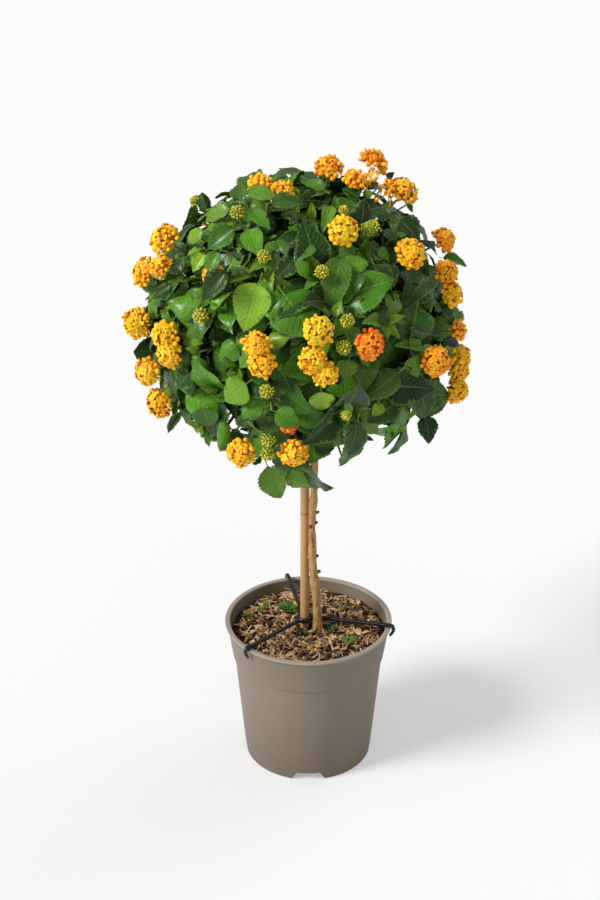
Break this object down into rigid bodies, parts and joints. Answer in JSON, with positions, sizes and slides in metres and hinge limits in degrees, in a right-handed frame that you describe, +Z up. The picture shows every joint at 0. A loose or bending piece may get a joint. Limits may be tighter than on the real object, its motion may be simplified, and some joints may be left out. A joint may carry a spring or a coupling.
{
  "type": "potted lantana standard",
  "caption": "Flowering lantana on a bare woody stem, tied up by a cane in a round plastic nursery pot with bark mulch.",
  "frame": {"origin": "on the pot's axis, at the surface that the pot stands on", "axes": "+Z up along the pot's axis; -Y towards the plant's show side; +X to the right seen from there"},
  "size_m": [0.3559, 0.3584, 0.7167],
  "materials": {
    "pot_plastic": "matte",
    "potting_soil": "matte",
    "bark_mulch": "matte",
    "cane": "satin",
    "anchor_plastic": "satin",
    "bark": "matte",
    "leaf": "satin",
    "flower": "matte",
    "weed": "matte"
  },
  "bodies": {
    "root": {"bloom_01": "flower", "bloom_02": "flower", "bloom_03": "flower", "bloom_04": "flower", "bloom_05": "flower", "bloom_06": "flower", "bloom_07": "flower", "bloom_08": "flower", "bloom_09": "flower", "bloom_10": "flower", "bloom_11": "flower", "bloom_12": "flower", "bloom_13": "flower", "bloom_14": "flower", "bloom_15": "flower", "bloom_16": "flower", "bloom_17": "flower", "bloom_18": "flower", "bloom_19": "flower", "bloom_20": "flower", "bloom_21": "flower", "bloom_22": "flower", "bloom_23": "flower", "bloom_24": "flower", "bloom_25": "flower", "bloom_26": "flower", "bloom_27": "flower", "bloom_28": "flower", "bloom_29": "flower", "bloom_30": "flower", "bloom_31": "flower", "bloom_32": "flower", "bloom_33": "flower", "bloom_34": "flower", "bloom_35": "flower", "bloom_36": "flower", "bloom_37": "flower", "bloom_38": "flower", "bloom_39": "flower", "leafy_stem_01": "leaf", "leafy_stem_02": "leaf", "leafy_stem_03": "leaf", "leafy_stem_04": "leaf", "leafy_stem_05": "leaf", "leafy_stem_06": "leaf", "leafy_stem_07": "leaf", "leafy_stem_08": "leaf", "leafy_stem_09": "leaf", "leafy_stem_10": "leaf", "leafy_stem_11": "leaf", "leafy_stem_12": "leaf", "leafy_stem_13": "leaf", "mulch": "bark_mulch", "pot": "pot_plastic", "potting_soil": "potting_soil", "stake": "cane", "stake_anchor": "anchor_plastic", "trunk": "bark", "weed_left": "weed", "weed_right": "weed"}
  },
  "joints": []
}
